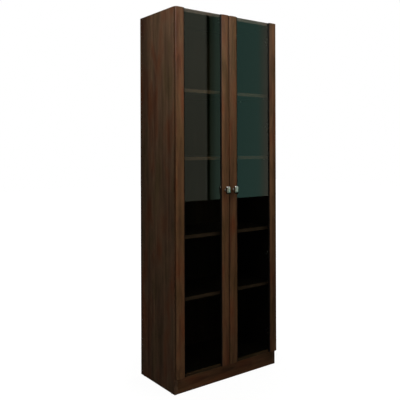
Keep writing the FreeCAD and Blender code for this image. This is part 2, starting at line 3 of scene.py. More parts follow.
import bmesh
import bpy
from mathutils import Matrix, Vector


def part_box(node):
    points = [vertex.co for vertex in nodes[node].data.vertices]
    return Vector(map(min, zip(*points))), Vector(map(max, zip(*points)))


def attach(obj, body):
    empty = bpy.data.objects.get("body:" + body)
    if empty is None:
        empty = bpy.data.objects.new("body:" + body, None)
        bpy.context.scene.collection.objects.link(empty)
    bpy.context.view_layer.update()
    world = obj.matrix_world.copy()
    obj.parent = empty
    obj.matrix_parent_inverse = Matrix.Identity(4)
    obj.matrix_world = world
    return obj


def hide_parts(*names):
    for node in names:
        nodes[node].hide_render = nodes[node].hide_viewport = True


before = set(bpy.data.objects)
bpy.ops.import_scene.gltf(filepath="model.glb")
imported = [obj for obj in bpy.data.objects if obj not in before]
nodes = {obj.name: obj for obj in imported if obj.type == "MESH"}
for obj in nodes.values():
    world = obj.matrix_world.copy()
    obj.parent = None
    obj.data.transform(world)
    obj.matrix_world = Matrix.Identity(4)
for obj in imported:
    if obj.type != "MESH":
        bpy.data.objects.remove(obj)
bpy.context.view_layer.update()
scene = bpy.context.scene
scene.view_settings.view_transform = "Standard"


# ---- Studio floor, white room and camera ----
# The bookcase stands on a plain pale floor in a white room. The camera is at chest height,
# in front and to the left, and leans a sixth of a degree.
def colour(code):
    """Linear colour of an sRGB hex code."""
    values = [int(code[i : i + 2], 16) / 255 for i in (1, 3, 5)]
    return (*(v / 12.92 if v <= 0.04045 else ((v + 0.055) / 1.055) ** 2.4 for v in values), 1.0)


def add(tree, kind, links=None, stops=None, **settings):
    """Adds a node, a ShaderNode where its kind names no family. links gives each input, by
    name or number, a value, a node or a socket, or a list of nodes where an input takes
    several. stops are a colour ramp's."""
    node = tree.nodes.new(kind if "Node" in kind else "ShaderNode" + kind)
    for name, value in settings.items():
        setattr(node, name, value)
    for key, given in (links or {}).items():
        for value in given if isinstance(given, list) else [given]:
            if isinstance(value, bpy.types.Node):
                value = next(o for o in value.outputs if o.enabled)
            if isinstance(value, bpy.types.NodeSocket):
                tree.links.new(value, node.inputs[key])
            else:
                node.inputs[key].default_value = value
    for i, (position, value) in enumerate(stops or []):
        ramp = node.color_ramp.elements
        stop = ramp[i] if i < len(ramp) else ramp.new(position)
        stop.position = position
        stop.color = colour(value) if isinstance(value, str) else (value, value, value, 1)
    return node


def blank(name):
    """New material with an empty node tree."""
    material = bpy.data.materials.new(name)
    material.use_nodes = True
    material.node_tree.nodes.clear()
    return material, material.node_tree


def first_seen(tree):
    """1 for what the camera, gloss and clear glass see before any diffuse bounce, else 0."""
    path = add(tree, "LightPath").outputs
    seen = path["Is Camera Ray"]
    for ray in ("Is Glossy Ray", "Is Transmission Ray"):
        seen = add(tree, "Math", {0: seen, 1: path[ray]}, operation="MAXIMUM")
    direct = add(tree, "Math", {0: path["Diffuse Depth"], 1: 0.5}, operation="LESS_THAN")
    return add(tree, "Math", {0: seen, 1: direct}, operation="MULTIPLY")


room_light = 0.053
white_room = bpy.data.worlds.new("white_room")
scene.world = white_room
white_room.use_nodes = True
tree = white_room.node_tree
tree.nodes.clear()
level = add(tree, "MapRange", {"Value": first_seen(tree), "To Min": room_light, "To Max": 1.0})
background = add(tree, "Background", {"Color": (1, 1, 1, 1), "Strength": level})
add(tree, "OutputWorld", {"Surface": background})

# The floor is painted pale grey. It shows white, and near the bookcase keeps a soft shadow.
shadow_kept, shadow_gone = 0.35, 1.1
floor_paint, tree = blank("pale_floor_paint")
place = add(tree, "TexCoord").outputs["Object"]
distance = add(tree, "VectorMath", {0: place}, operation="LENGTH").outputs["Value"]
fade = {"Value": distance, "From Min": shadow_kept, "From Max": shadow_gone, "To Min": 0.86, "To Max": 1.0}
whiteness = add(tree, "MapRange", fade, interpolation_type="SMOOTHSTEP")
share = add(tree, "Math", {0: first_seen(tree), 1: whiteness}, operation="MULTIPLY")
grain = add(tree, "TexNoise", {"Vector": place, "Scale": 40.0, "Detail": 3.0})
paint = add(tree, "ValToRGB", {"Fac": grain}, stops=[(0.3, "#a9a7a2"), (0.7, "#b1afaa")])
matt = add(tree, "BsdfDiffuse", {"Color": paint})
white = add(tree, "Emission", {"Color": (1, 1, 1, 1), "Strength": 1.12})
shown = add(tree, "MixShader", {0: share, 1: matt, 2: white})
add(tree, "OutputMaterial", {"Surface": shown})


def square(half, height):
    """Corners of a level square round the origin."""
    return [(-half, -half, height), (half, -half, height), (half, half, height), (-half, half, height)]


def in_scene(name, data):
    """New object of a mesh, lamp or camera, linked to the scene."""
    thing = bpy.data.objects.new(name, data)
    scene.collection.objects.link(thing)
    return thing


def sheet(name, corners, material):
    """Flat stage piece. It is no part of the bookcase."""
    mesh = bpy.data.meshes.new(name)
    mesh.from_pydata(corners, [], [(0, 1, 2, 3)])
    mesh.materials.append(material)
    piece = in_scene(name, mesh)
    return piece


floor_reach = 14
sheet("floor", square(floor_reach, 0), floor_paint)

camera = in_scene("camera", bpy.data.cameras.new("camera"))
camera.data.sensor_width = 36.0
camera.data.lens = 49.495
camera.data.shift_y = -0.1273
camera.location = (-1.92015, -2.49507, 1.26612)
camera.rotation_euler = (math.radians(90), math.radians(0.173), math.radians(-36.399))
scene.camera = camera


# ---- Soft studio light ----
# Large soft boxes hang high in front, at the left and far behind on the right, and a small
# one lights the lower left. Their light falls off down the bookcase.
def soft_box(name, place, target, size, watts, mirrored=False):
    """Square lamp turned to its target. mirrored says whether gloss shows it."""
    lamp = bpy.data.lights.new(name, "AREA")
    lamp.shape = "SQUARE"
    lamp.size = size
    lamp.energy = watts
    holder = in_scene(name, lamp)
    holder.location = place
    holder.visible_camera = False
    holder.visible_glossy = mirrored
    holder.rotation_euler = (Vector(target) - Vector(place)).to_track_quat("-Z", "Y").to_euler()


soft_box("front_soft_box", (0.5, -1.3, 2.25), (0.05, 0, 1.6), 1.0, 13.3)
soft_box("left_soft_box", (-1.2, -0.65, 2.4), (-0.35, 0, 1.55), 1.0, 20.5, mirrored=True)
soft_box("low_left_soft_box", (-0.8, -0.85, 0.22), (-0.33, -0.15, 0.3), 0.6, 1.9)
soft_box("right_soft_box", (2.2, 0.9, 1.9), (0.35, 0.05, 1.1), 1.2, 30)


# Dark cloth hangs round the bookcase and lies on the floor, where the satin foil and the
# panes would mirror the white room, and tall glowing cards stand in front, painted
# reflections for the panes and knobs. Only gloss sees them.
def card(name, corners, tone, run=None):
    """Glowing sheet, no lamp, that is seen in reflections alone: a painted reflection. tone is
    its colour or, with run, the stops of its colours. run gives their axis, start and end."""
    material, tree = blank(name)
    if run:
        axis, start, end = run
        place = add(tree, "TexCoord").outputs["Object"]
        along = add(tree, "SeparateXYZ", {0: place}).outputs[axis]
        share = add(tree, "MapRange", {"Value": along, "From Min": start, "From Max": end})
        shade = add(tree, "ValToRGB", {"Fac": share}, stops=tone)
    else:
        shade = colour(tone)
    glow = add(tree, "Emission", {"Color": shade})
    add(tree, "OutputMaterial", {"Surface": glow})
    screen = sheet(name, corners, material)
    screen.visible_camera = False
    screen.visible_diffuse = False
    screen.visible_transmission = False
    screen.visible_shadow = False


def upright(start, end, foot, top):
    """Corners of an upright sheet over a line on the floor."""
    return [(*start, foot), (*end, foot), (*end, top), (*start, top)]


black_cloth = "#050505"
cloth_reach, cloth_top, cloth_panels = 5.5, 6.0, 32
angles = [math.tau * i / cloth_panels for i in range(cloth_panels + 1)]
ring = [(cloth_reach * math.cos(a), cloth_reach * math.sin(a)) for a in angles]
for i, (start, end) in enumerate(zip(ring, ring[1:])):
    card(f"dark_surround_{i:02d}", upright(start, end, 0, cloth_top), black_cloth)
card("dark_cloth", square(cloth_reach, 0.001), black_cloth)

card_y, card_foot = -3.16, 0.645
card_left, card_join, card_right = -2.5, 2.1, 4.2
corners = upright((card_left, card_y), (card_join, card_y), card_foot, cloth_top)
tones = [(0.0, "#7c7f70"), (0.25, "#7d8071"), (0.5, "#888b7b"), (1.0, "#969c8b")]
card("grey_card", corners, tones, ("Z", 0.6, 3.2))
# The right-hand card is green, with a dark line near its left edge.
corners = upright((card_join, card_y), (card_right, card_y), card_foot, cloth_top)
tones = [
    (0.01, "#85887a"), (0.032, "#0c1a0c"), (0.052, "#0c1a0c"), (0.08, "#576a56"), (0.115, "#5a7062"),
    (0.15, "#6f8c7b"), (0.3, "#749180"), (0.45, "#6f9f92"), (0.79, "#74a093"), (0.86, "#8a9c8b"),
    (0.9, "#969d8e"), (1.0, "#968f80"),
]
card("green_card", corners, tones, ("X", 2.1, 3.2))
# The faces of the knobs mirror this one. Its foot slopes.
left, right, depth, top = 2.35, 2.578, -3.15, 2.4
corners = [(left, depth, 0.68), (right, depth, 0.76), (right, depth, top), (left, depth, top)]
card("knob_card", corners, "#e2d9d0")


# ---- Side panels ----
# 18 mm chipboard sides faced with dark walnut foil, the grain upright. Faces turned into the
# cabinet are darkened to near-black espresso, painted shade. Foil strips cover the front and
# top edges, and the rear edge is sawn board.
def raw_chipboard(tree, place):
    """Sawn chipboard: pale pressed chips 2 to 4 mm long. Gives its colour and its height."""
    chips = add(tree, "TexVoronoi", {"Vector": place, "Scale": 330.0})
    shades = add(tree, "SeparateColor", {0: chips.outputs["Color"]}).outputs["Red"]
    chip_tones = [(0.1, "#86683f"), (0.5, "#a98b5f"), (0.95, "#c9b083")]
    skin = add(tree, "ValToRGB", {"Fac": shades}, stops=chip_tones)
    return skin.outputs["Color"], chips.outputs["Distance"]


def turned_to(tree, coords, way, limit=None, both=False):
    """How far a face is turned to a way or, with both, also away from it. With a limit it is
    1 beyond the limit and else 0."""
    facing = {0: coords.outputs["Normal"], 1: way}
    turned = add(tree, "VectorMath", facing, operation="DOT_PRODUCT").outputs["Value"]
    if both:
        turned = add(tree, "Math", {0: turned}, operation="ABSOLUTE")
    return add(tree, "Math", {0: turned, 1: limit}, operation="GREATER_THAN") if limit else turned


# Waves a metre across the grain and along it, step from the seed, detail and roughness of
# each part of the figure. Streaks are 30 mm wide and fibres 2.5 mm. The pores are drawn 1 mm
# wide, coarser than the real 0.2 mm, so that they show.
foil_figure = {
    "sway": (7, 1.1, 0.0, 3.0, 0.55),
    "streaks": (34, 1.6, 3.0, 4.0, 0.6),
    "fibres": (420, 9, 7.0, 3.0, 0.65),
    "pores": (1100, 45, 0.0, 1.0, 0.5),
    "patches": (13, 4.2, 11.0, 2.0, 0.5),
}
ring_pitch, ring_taper, ring_sway = 0.0085, 0.035, 0.075
square_on, rubbed_edge = 0.6, 0.0016


def walnut_foil(
    node, grain, heart, seed, roughness=0.46, shade=1.0, tint="#ffffff", shaded_side=None, both=False, raw=None,
    painted_rear_shade=False, painted_flank_shade=1.0, front_tone=None,
):
    """Printed walnut foil for a board: dark, warm and satin. grain is the axis it runs along,
    and heart is where its growth rings centre. shaded_side darkens the faces turned that way
    to near-black espresso, painted shade, and raw is the board behind, at the rear.
    painted_rear_shade darkens the rear edge and painted_flank_shade the sideways faces, both
    painted shade. front_tone is the tone of the faces turned to the front."""
    material, tree = blank(node + "_walnut_foil")
    coords = add(tree, "TexCoord")
    place = coords.outputs["Object"]
    turn = (0, -math.pi / 2, 0) if grain == "x" else (0, 0, 0)
    along = add(tree, "Mapping", {"Vector": place, "Rotation": turn})
    figure = {}
    for part, (across, length, step, detail, rough) in foil_figure.items():
        drawn = add(tree, "Mapping", {"Vector": along, "Scale": (across, across, length)})
        waves = {"Vector": drawn, "W": seed + step, "Scale": 1.0, "Detail": detail, "Roughness": rough}
        figure[part] = add(tree, "TexNoise", waves, noise_dimensions="4D")
    # Growth rings sway and narrow upwards, so that they make long arches.
    rings = add(tree, "Mapping", {"Vector": along, "Location": (-heart[0], -heart[1], 0), "Scale": (1, 1, 0)})
    radius = add(tree, "VectorMath", {0: rings}, operation="LENGTH").outputs["Value"]
    height = add(tree, "SeparateXYZ", {0: along}).outputs["Z"]
    cone = add(tree, "Math", {0: height, 1: ring_taper, 2: radius}, operation="MULTIPLY_ADD")
    swayed = add(tree, "Math", {0: figure["sway"], 1: ring_sway, 2: cone}, operation="MULTIPLY_ADD")
    year = add(tree, "Math", {0: swayed, 1: 1 / ring_pitch}, operation="MULTIPLY")
    late = add(tree, "Math", {0: year}, operation="FRACT")
    ring_stops = [(0.0, 0.75), (0.45, 0.6), (0.86, 0.2), (1.0, 0.7)]
    ring_tone = add(tree, "ValToRGB", {"Fac": late}, stops=ring_stops)
    pores = add(tree, "ValToRGB", {"Fac": figure["pores"]}, stops=[(0.34, 0.0), (0.46, 1.0)])
    tone = -0.2
    for part, share in ((figure["streaks"], 1.15), (ring_tone, 0.22), (figure["fibres"], 0.28)):
        tone = add(tree, "Math", {0: part, 1: share, 2: tone}, operation="MULTIPLY_ADD")
    wood = add(tree, "ValToRGB", {"Fac": tone}, stops=[(0.2, "#2e1d12"), (0.5, "#4b3322"), (0.8, "#654830")])
    warm_stops = [(0.33, "#e0e9d9"), (0.5, "#ffffff"), (0.67, "#ffd4c0")]
    warmth = add(tree, "ValToRGB", {"Fac": figure["patches"]}, stops=warm_stops)
    skin = add(tree, "Mix", {0: 1.0, 6: wood, 7: warmth}, data_type="RGBA", blend_type="MULTIPLY")
    pore_shade = add(tree, "MapRange", {"Value": pores, "To Min": 0.72 * shade, "To Max": shade})
    skin = add(tree, "VectorMath", {0: skin, "Scale": pore_shade}, operation="SCALE")
    skin = add(tree, "Mix", {0: 1.0, 6: skin, 7: colour(tint)}, data_type="RGBA", blend_type="MULTIPLY")
    relief = add(tree, "Math", {0: figure["fibres"], 1: 0.4, 2: pores}, operation="MULTIPLY_ADD")
    if painted_rear_shade:
        # Painted shade darkens the foil along the rear edge, most at the top, and tapers out at knee height.
        parts = add(tree, "SeparateXYZ", {0: place}).outputs
        band = {"Value": parts["Y"], "From Min": 0.06, "From Max": 0.15}
        rear = add(tree, "MapRange", band, interpolation_type="SMOOTHSTEP")
        rise = {"Value": parts["Z"], "From Min": 0.3, "From Max": 1.5, "To Min": 1.0, "To Max": 0.56}
        upper = add(tree, "MapRange", rise)
        dark = add(tree, "Mix", {0: rear, 2: 1.0, 3: upper})
        skin = add(tree, "VectorMath", {0: skin, "Scale": dark}, operation="SCALE")
    if front_tone:
        # Faces turned to the front take their own pair of tones.
        ahead = turned_to(tree, coords, (0, -1, 0), square_on)
        strip = add(tree, "ValToRGB", {"Fac": tone}, stops=[(0.2, front_tone[0]), (0.8, front_tone[1])])
        skin = add(tree, "Mix", {0: ahead, 6: skin, 7: strip}, data_type="RGBA")
    if painted_flank_shade < 1:
        # Painted shade: faces turned sideways, such as the sides of the moulding, are darkened.
        sideways = turned_to(tree, coords, (1, 0, 0), both=True)
        stretch = {"Value": sideways, "From Min": 0.7, "From Max": 0.95, "To Min": 1.0, "To Max": painted_flank_shade}
        darker = add(tree, "MapRange", stretch)
        skin = add(tree, "VectorMath", {0: skin, "Scale": darker}, operation="SCALE")
    if shaded_side:
        inner = turned_to(tree, coords, shaded_side, square_on, both)
        painted_inner_shade = add(tree, "ValToRGB", {"Fac": tone}, stops=[(0.2, "#110b07"), (0.8, "#1b130d")])
        skin = add(tree, "Mix", {0: inner, 6: skin, 7: painted_inner_shade}, data_type="RGBA")
    # The foil is rubbed paler within a millimetre or so of the board's edges.
    low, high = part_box(node)
    off_middle = add(tree, "VectorMath", {0: place, 1: tuple((low + high) / 2)}, operation="SUBTRACT")
    off_middle = add(tree, "VectorMath", {0: off_middle}, operation="ABSOLUTE")
    to_face = add(tree, "VectorMath", {0: tuple((high - low) / 2), 1: off_middle}, operation="SUBTRACT")
    to_face = add(tree, "SeparateXYZ", {0: to_face}).outputs
    nearer = add(tree, "Math", {0: to_face["X"], 1: to_face["Y"]}, operation="MINIMUM")
    further = add(tree, "Math", {0: to_face["X"], 1: to_face["Y"]}, operation="MAXIMUM")
    second = add(tree, "Math", {0: further, 1: to_face["Z"]}, operation="MINIMUM")
    to_edge = add(tree, "Math", {0: nearer, 1: second}, operation="MAXIMUM")
    rub = add(tree, "MapRange", {"Value": to_edge, "From Max": rubbed_edge, "To Min": 1.0, "To Max": 0.0})
    knocks = add(tree, "TexNoise", {"Vector": place, "Scale": 60.0, "Detail": 4.0})
    knocks = add(tree, "MapRange", {"Value": knocks, "From Min": 0.45, "From Max": 0.65})
    worn = add(tree, "Math", {0: rub, 1: knocks}, operation="MULTIPLY")
    skin = add(tree, "Mix", {0: worn, 6: skin, 7: colour("#6d5138")}, data_type="RGBA")
    gloss = add(tree, "MapRange", {"Value": tone, "To Min": roughness + 0.07, "To Max": roughness - 0.05})
    if raw:
        raw_skin, raw_height = raw(tree, place)
        behind = turned_to(tree, coords, (0, 1, 0), square_on)
        skin = add(tree, "Mix", {0: behind, 6: skin, 7: raw_skin}, data_type="RGBA")
        relief = add(tree, "Mix", {0: behind, 2: relief, 3: raw_height})
        gloss = add(tree, "Mix", {0: behind, 2: gloss, 3: 0.85})
    bump = add(tree, "Bump", {"Height": relief, "Strength": 0.25, "Distance": 0.0002})
    foil = {"Base Color": skin, "Roughness": gloss, "Normal": bump, "IOR": 1.47, "Specular IOR Level": 0.25}
    add(tree, "OutputMaterial", {"Surface": add(tree, "BsdfPrincipled", foil)})
    wear(node, material)


def wear(node, material):
    """Gives a frame node its finish."""
    for place in nodes[node].material_slots:
        place.material = material


# Painted light: shade=1.18 lightens the side panels' foil, and their rear edge carries painted shade.
side_foil = {"shade": 1.18, "tint": "#dcebff", "raw": raw_chipboard, "painted_rear_shade": True}
walnut_foil("left_side_panel", "z", (-0.30, 0.06), 1.0, shaded_side=(1, 0, 0), **side_foil)
walnut_foil("right_side_panel", "z", (0.30, 0.02), 5.0, shaded_side=(-1, 0, 0), **side_foil)


# ---- Cam locks, their bolts and dowels ----
# Each end of a fixed board is pulled to the side by steel bolts that run into zinc cams, let
# into the board's hidden face. A cam is die-cast, with a cross recess and a small pointer.
def hardware_finish(
    name, dark, light, grain, roughness, metallic=0.0, stretch=(1, 1, 1), relief=0.1, **sockets
):
    """Finish for small fittings. grain is the size of its mottle in metres, and stretch draws
    the mottle out into brush marks. roughness is its lowest and highest."""
    material, tree = blank(name)
    place = add(tree, "TexCoord").outputs["Object"]
    drawn = add(tree, "Mapping", {"Vector": place, "Scale": stretch})
    mottle = add(tree, "TexNoise", {"Vector": drawn, "Scale": 1 / grain, "Detail": 4.0, "Roughness": 0.6})
    skin = add(tree, "ValToRGB", {"Fac": mottle}, stops=[(0.35, dark), (0.65, light)])
    handling = add(tree, "TexNoise", {"Vector": place, "Scale": 0.25 / grain, "Detail": 3.0})
    lowest, highest = roughness
    rub = {"Value": handling, "From Min": 0.35, "From Max": 0.65, "To Min": lowest, "To Max": highest}
    gloss = add(tree, "MapRange", rub)
    bump = add(tree, "Bump", {"Height": mottle, "Strength": relief, "Distance": grain / 10})
    inputs = {"Base Color": skin, "Roughness": gloss, "Normal": bump, "Metallic": metallic}
    inputs.update({socket.replace("_", " "): value for socket, value in sockets.items()})
    add(tree, "OutputMaterial", {"Surface": add(tree, "BsdfPrincipled", inputs)})
    return material


def solids(node):
    """Lowest and highest corner of each separate solid in a frame node."""
    shell = bmesh.new()
    shell.from_mesh(nodes[node].data)
    bmesh.ops.remove_doubles(shell, verts=shell.verts, dist=1e-6)
    left = set(shell.verts)
    found = []
    while left:
        border = [left.pop()]
        group = []
        while border:
            corner = border.pop()
            group.append(corner.co.copy())
            for edge in corner.link_edges:
                other = edge.other_vert(corner)
                if other in left:
                    left.remove(other)
                    border.append(other)
        found.append([Vector([end(v[i] for v in group) for i in range(3)]) for end in (min, max)])
    shell.free()
    return sorted(found, key=lambda corners: [round(v, 4) for v in corners[0]])


def part_tree(name, sizes):
    """Geometry Nodes tree with named sizes and a finish. Gives the tree and its inputs."""
    tree = bpy.data.node_groups.new(name, "GeometryNodeTree")
    tree.interface.new_socket("Geometry", in_out="INPUT", socket_type="NodeSocketGeometry")
    for size, value in sizes.items():
        tree.interface.new_socket(size, in_out="INPUT", socket_type="NodeSocketFloat").default_value = value
    tree.interface.new_socket("Finish", in_out="INPUT", socket_type="NodeSocketMaterial")
    tree.interface.new_socket("Geometry", in_out="OUTPUT", socket_type="NodeSocketGeometry")
    return tree, add(tree, "NodeGroupInput").outputs


def round_bar(tree, radius, height, middle, vertices, rings, fills=1):
    """Cylinder along Z with its middle at a height. rings and fills divide its side and ends."""
    counts = {"Vertices": vertices, "Side Segments": rings, "Fill Segments": fills}
    bar = add(tree, "GeometryNodeMeshCylinder", {**counts, "Radius": radius, "Depth": height})
    lift = add(tree, "CombineXYZ", {"Z": middle})
    return add(tree, "GeometryNodeTransform", {"Geometry": bar, "Translation": lift})


def from_axis(tree, radius):
    """A point, its height, and its distance from the Z axis as a share of the radius."""
    spot = add(tree, "GeometryNodeInputPosition")
    height = add(tree, "SeparateXYZ", {0: spot}).outputs["Z"]
    flat_spot = add(tree, "VectorMath", {0: spot, 1: (1, 1, 0)}, operation="MULTIPLY")
    reach = add(tree, "VectorMath", {0: flat_spot}, operation="LENGTH").outputs["Value"]
    return spot, height, add(tree, "Math", {0: reach, 1: radius}, operation="DIVIDE")


def end_tree(tree, inputs, part, seed, upright=False):
    """Puts the part on each point, its Z along the point's drive. It is turned at random about
    that, or upright keeps its X up. The parts become one mesh with smooth rounds. Gives the
    tree."""
    drive = add(tree, "GeometryNodeInputNamedAttribute", {"Name": "drive"}, data_type="FLOAT_VECTOR")
    turned = add(tree, "FunctionNodeAlignRotationToVector", {"Vector": drive}, axis="Z")
    if upright:
        to_up = {"Rotation": turned, "Vector": (0, 0, 1)}
        turned = add(tree, "FunctionNodeAlignRotationToVector", to_up, axis="X", pivot_axis="Z")
    else:
        chance = add(tree, "FunctionNodeRandomValue", {3: math.tau, 8: seed})
        spin = add(tree, "FunctionNodeAxisAngleToRotation", {"Axis": (0, 0, 1), "Angle": chance})
        spun = {"Rotation": turned, "Rotate By": spin}
        turned = add(tree, "FunctionNodeRotateRotation", spun, rotation_space="LOCAL")
    smooth = add(tree, "GeometryNodeSetShadeSmooth", {"Geometry": part})
    angle = add(tree, "GeometryNodeInputMeshEdgeAngle").outputs["Unsigned Angle"]
    sharp = add(tree, "FunctionNodeCompare", {0: angle, 1: 0.6}, operation="GREATER_THAN")
    edges = {"Geometry": smooth, "Selection": sharp, "Shade Smooth": False}
    smooth = add(tree, "GeometryNodeSetShadeSmooth", edges, domain="EDGE")
    spots = {"Points": inputs["Geometry"], "Instance": smooth, "Rotation": turned}
    placed = add(tree, "GeometryNodeInstanceOnPoints", spots)
    real = add(tree, "GeometryNodeRealizeInstances", {"Geometry": placed})
    finished = add(tree, "GeometryNodeSetMaterial", {"Geometry": real, "Material": inputs["Finish"]})
    add(tree, "NodeGroupOutput", {"Geometry": finished})
    return tree


def hand_over(name, mesh, node, body):
    """Makes a mesh the piece that stands for a frame node."""
    mesh.name = name
    piece = in_scene(name, mesh)
    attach(piece, body)
    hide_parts(node)


def fitted(name, tree, node, body, slot, places, drives, finish, **sizes):
    """Plain mesh of the tree's part at each place, standing for a frame node. sizes are the
    tree's inputs that differ from its own."""
    points = bpy.data.meshes.new(name + "_places")
    points.from_pydata([tuple(v) for v in places], [], [])
    drive = points.attributes.new("drive", "FLOAT_VECTOR", "POINT")
    drive.data.foreach_set("vector", [v for way in drives for v in way])
    carrier = in_scene(name + "_places", points)
    modifier = carrier.modifiers.new("parts", "NODES")
    modifier.node_group = tree
    given = {**sizes, "Finish": finish}
    for socket in tree.interface.items_tree:
        if socket.in_out == "INPUT" and socket.name in given:
            modifier[socket.identifier] = given[socket.name]
    mesh = bpy.data.meshes.new_from_object(carrier.evaluated_get(bpy.context.evaluated_depsgraph_get()))
    carrier.modifiers.remove(modifier)
    bpy.data.objects.remove(carrier)
    hand_over(name, mesh, node, body)


# The recess is wider at its mouth than at its floor, as its punch leaves it.
floor_share = 0.7
cross_recess = tree = bpy.data.node_groups.new("cross_recess", "GeometryNodeTree")
for part in ("Arm", "Width", "Depth"):
    tree.interface.new_socket(part, in_out="INPUT", socket_type="NodeSocketFloat")
tree.interface.new_socket("Geometry", in_out="OUTPUT", socket_type="NodeSocketGeometry")
size = add(tree, "NodeGroupInput").outputs
across = add(tree, "Math", {0: size["Arm"], 1: 2.0}, operation="MULTIPLY")
deep = add(tree, "Math", {0: size["Depth"], 1: 2.0}, operation="MULTIPLY")
bars = []
for x, y in ((across, size["Width"]), (size["Width"], across)):
    bar_size = add(tree, "CombineXYZ", {"X": x, "Y": y, "Z": deep})
    bars.append(add(tree, "GeometryNodeMeshCube", {"Size": bar_size}))
cross = add(tree, "GeometryNodeMeshBoolean", {1: bars}, operation="UNION", solver="EXACT")
spot = add(tree, "GeometryNodeInputPosition")
height = add(tree, "SeparateXYZ", {0: spot}).outputs["Z"]
floor_end = add(tree, "FunctionNodeCompare", {0: height, 1: 0.0}, operation="GREATER_THAN")
narrowed = add(tree, "VectorMath", {0: spot, 1: (floor_share, floor_share, 1.0)}, operation="MULTIPLY")
tapered = {"Geometry": cross, "Selection": floor_end, "Position": narrowed}
cross = add(tree, "GeometryNodeSetPosition", tapered)
add(tree, "NodeGroupOutput", {"Geometry": cross})

# A cam is a drum with a chamfered rim. Its recess and its pointer are sunk in the face.
rim_start, rim_chamfer, pointer_reach = 0.95, 0.0005, 0.78
cam_sizes = {
    "Radius": 0.0074, "Height": 0.0126, "Recess Arm": 0.0044, "Recess Width": 0.0016, "Recess Depth": 0.0025,
}
tree, size = part_tree("cam_lock", cam_sizes)
middle = add(tree, "Math", {0: size["Height"], 1: 0.5}, operation="MULTIPLY")
drum = round_bar(tree, size["Radius"], size["Height"], middle, 32, 6, 5)
spot, height, reach = from_axis(tree, size["Radius"])
near_rim = add(tree, "FunctionNodeCompare", {0: reach, 1: rim_start}, operation="GREATER_THAN")
on_face = add(tree, "FunctionNodeCompare", {0: height, 1: 0.0001}, operation="LESS_THAN")
rim = add(tree, "FunctionNodeBooleanMath", {0: near_rim, 1: on_face}, operation="AND")
chamfered = {"Geometry": drum, "Selection": rim, "Offset": (0, 0, rim_chamfer)}
drum = add(tree, "GeometryNodeSetPosition", chamfered)
recess_sizes = {part: size["Recess " + part] for part in ("Arm", "Width", "Depth")}
recess = add(tree, "GeometryNodeGroup", recess_sizes, node_tree=cross_recess)
pointer = add(tree, "GeometryNodeMeshCone", {"Vertices": 3, "Radius Bottom": 0.0011, "Depth": 0.0016})
pointer_place = add(tree, "Math", {0: size["Radius"], 1: pointer_reach}, operation="MULTIPLY")
pointer_place = add(tree, "CombineXYZ", {"X": pointer_place, "Z": -0.0006})
pointer = add(tree, "GeometryNodeTransform", {"Geometry": pointer, "Translation": pointer_place})
cuts = {0: drum, 1: [recess, pointer]}
cam = add(tree, "GeometryNodeMeshBoolean", cuts, operation="DIFFERENCE", solver="EXACT")
cam_tree = end_tree(tree, size, cam, 4)

# Die-cast zinc: dull grey, with a faint mottle and a fine cast grain.
as_cast = {"metallic": 1.0, "relief": 0.25}
cast_zinc = hardware_finish("die_cast_zinc", "#85878a", "#a3a5a6", 0.0015, (0.38, 0.55), **as_cast)
top_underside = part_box("top_panel")[0].z
cam_places, cam_drives = [], []
for low, high in solids("cam_locks"):
    x, y, z = (low + high) / 2
    if high.z - low.z > high.y - low.y:
        # Cams in the rear faces of the plinths.
        place, drive = (x, high.y, z), (0, -1, 0)
    elif high.z > top_underside:
        place, drive = (x, y, high.z), (0, 0, -1)
    else:
        place, drive = (x, y, low.z), (0, 0, 1)
    cam_places.append(place)
    cam_drives.append(drive)
fitted("cam_locks_cast", cam_tree, "cam_locks", "carcass", "zinc_alloy", cam_places, cam_drives, cast_zinc)

# Zinc-plated steel: bluish silver with brush marks along the bolts.
brushed = {"metallic": 1.0, "stretch": (0.25, 1, 1), "relief": 0.08}
plated_zinc = hardware_finish("zinc_plated_steel", "#9a9da0", "#c2c3c0", 0.0008, (0.26, 0.42), **brushed)
wear("cam_bolts", plated_zinc)

# Beech: pale pinkish tan, with short dark flecks and the flutes that glue runs along.
beech_dowel, tree = blank("fluted_beech")
place = add(tree, "TexCoord").outputs["Object"]
fibre_place = add(tree, "Mapping", {"Vector": place, "Scale": (40, 900, 900)})
fibre = add(tree, "TexNoise", {"Vector": fibre_place, "Scale": 1.0, "Detail": 3.0})
skin = add(tree, "ValToRGB", {"Fac": fibre}, stops=[(0.3, "#a97e57"), (0.7, "#cba67c")])
flutes = add(tree, "TexWave", {"Vector": place, "Scale": 330.0}, bands_direction="Z")
bump = add(tree, "Bump", {"Height": flutes, "Strength": 0.4, "Distance": 0.0003})
shader = add(tree, "BsdfPrincipled", {"Base Color": skin, "Roughness": 0.62, "Normal": bump})
add(tree, "OutputMaterial", {"Surface": shader})
wear("wood_dowels", beech_dowel)


# ---- Top, bottom and middle boards ----
# The same chipboard, the grain running across the bookcase. Outside faces and front edges
# are walnut, and faces turned into the cabinet are near-black espresso, painted shade. The
# top's rear edge is sawn board.
shelf_foil = {"shaded_side": (0, 0, 1), "both": True, "front_tone": ("#3f2d23", "#5d4535")}
top_front_tone = ("#55453f", "#715b53")
walnut_foil("top_panel", "x", (-1.93, 0.05), 9.0, shaded_side=(0, 0, -1), raw=raw_chipboard, front_tone=top_front_tone)
# Painted light: shade=1.2 lightens the bottom panel's foil.
walnut_foil("bottom_panel", "x", (-0.12, 0.03), 13.0, shade=1.2, shaded_side=(0, 0, 1), both=True)
walnut_foil("middle_shelf", "x", (-0.75, 0.03), 17.0, **shelf_foil)


# ---- Plinths and floor glides ----
# Two upright boards under the bottom panel, with walnut foil along them. The side panels
# stand on brown nylon glides, each with a nail that is driven up into the panel.
# Painted shade: shade=0.82 darkens the front plinth's foil near the floor.
walnut_foil("front_plinth", "x", (-0.05, -0.10), 21.0, shade=0.82, tint="#fff2e6")
walnut_foil("rear_plinth", "x", (-0.05, 0.16), 25.0, raw=raw_chipboard)

